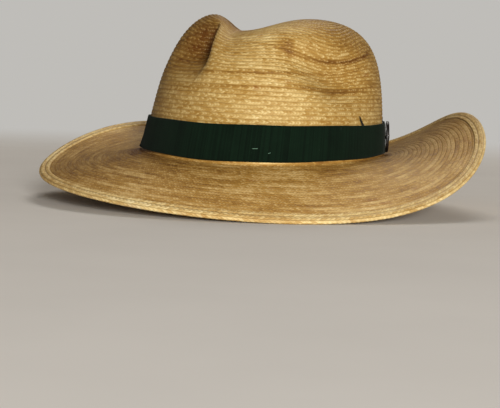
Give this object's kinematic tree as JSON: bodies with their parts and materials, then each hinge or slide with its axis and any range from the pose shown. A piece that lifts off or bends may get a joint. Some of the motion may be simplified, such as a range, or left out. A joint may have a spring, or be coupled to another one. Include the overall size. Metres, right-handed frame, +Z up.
{
  "type": "sewn straw hat",
  "caption": "Sewn-braid straw hat with a creased and pinched crown, a snapped and curled brim, a dark ribbon band and a side button.",
  "frame": {"origin": "centre of the head opening, level with the mean height of the break between crown and brim", "axes": "+Z up out of the crown, -Y the way the wearer looks, +X the wearer's left"},
  "size_m": [0.3102, 0.3514, 0.1315],
  "materials": {
    "straw": "sewn palm braid, satin",
    "straw_edge": "folded palm braid, satin",
    "wire": "drawn wire",
    "sleeve": "crimped tube",
    "ribbon": "ribbed grosgrain",
    "tack_thread": "twisted thread",
    "quill": "dull, dark",
    "rim_metal": "dark lacquer",
    "dome_metal": "polished",
    "post_metal": "plain",
    "sweat_leather": "soft, matt",
    "reed_plastic": "plain",
    "tape_cloth": "woven tape",
    "stitch_thread": "thread",
    "bow_ribbon": "satin ribbon",
    "tab_paper": "plain"
  },
  "bodies": {
    "hat": {"crown": "straw", "brim": "straw", "edge_braid": "straw_edge", "brim_wire": "wire", "wire_sleeve": "sleeve", "hatband": "ribbon", "band_keeper": "ribbon", "band_tacks": "tack_thread", "quill_tips": "quill", "sweatband": "sweat_leather", "sweatband_reed": "reed_plastic", "sweatband_tape": "tape_cloth", "sweatband_stitches": "stitch_thread", "bow_loops": "bow_ribbon", "bow_knot": "bow_ribbon"},
    "button": {"button_rim": "rim_metal", "button_dome": "dome_metal", "button_post": "post_metal", "button_washer": "post_metal"},
    "size_tab": {"size_tab": "tab_paper"}
  },
  "joints": [
    {"name": "button_spin", "type": "hinge", "parent": "hat", "child": "button", "pos_m": [0.08397, 0.00546, 0.01579], "axis": [0.9991, 0.0415, 0], "continuous": true},
    {"name": "size_tab_flap", "type": "hinge", "parent": "hat", "child": "size_tab", "pos_m": [0.03751, 0.08621, 0.02299], "axis": [-0.8307, 0.5567, 0], "range_deg": [0, 75]}
  ]
}
